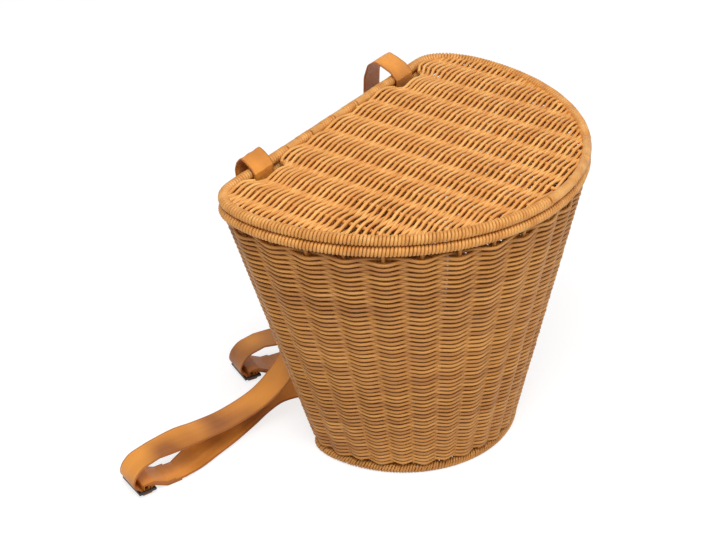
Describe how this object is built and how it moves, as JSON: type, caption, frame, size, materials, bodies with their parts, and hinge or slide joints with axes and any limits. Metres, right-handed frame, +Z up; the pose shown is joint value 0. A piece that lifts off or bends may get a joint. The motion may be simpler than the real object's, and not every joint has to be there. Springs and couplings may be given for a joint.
{
  "type": "wicker backpack",
  "caption": "Woven wicker backpack basket with a flat back, a curved front, a hinged woven lid and adjustable webbing shoulder straps.",
  "frame": {"origin": "on the floor under the middle of the base's underside", "axes": "+X along the straight back towards the wearer's right, +Y from the curved front towards the wearer's back, +Z up"},
  "size_m": [0.4144, 0.3103, 0.2779],
  "materials": {
    "weave": "satin synthetic wicker strand",
    "lid_weave": "satin synthetic wicker strand",
    "whipping": "satin synthetic wicker strand, tightly wound",
    "rod": "coated wire",
    "webbing": "satin woven webbing",
    "slider": "satin moulded"
  },
  "bodies": {
    "basket": {"wall": "weave", "body_hoop": "rod", "body_whipping": "whipping", "base_panel": "weave", "foot_border": "weave", "strap_left_upper": "webbing", "strap_left_lower": "webbing", "slider_left": "slider", "strap_right_upper": "webbing", "strap_right_lower": "webbing", "slider_right": "slider"},
    "lid": {"lid_panel": "lid_weave", "lid_hoop": "rod", "lid_whipping": "whipping"}
  },
  "joints": [
    {"name": "lid_hinge", "type": "hinge", "parent": "basket", "child": "lid", "pos_m": [0, 0.1096, 0.2631], "axis": [-1, 0, 0], "range_deg": [0, 90]}
  ]
}
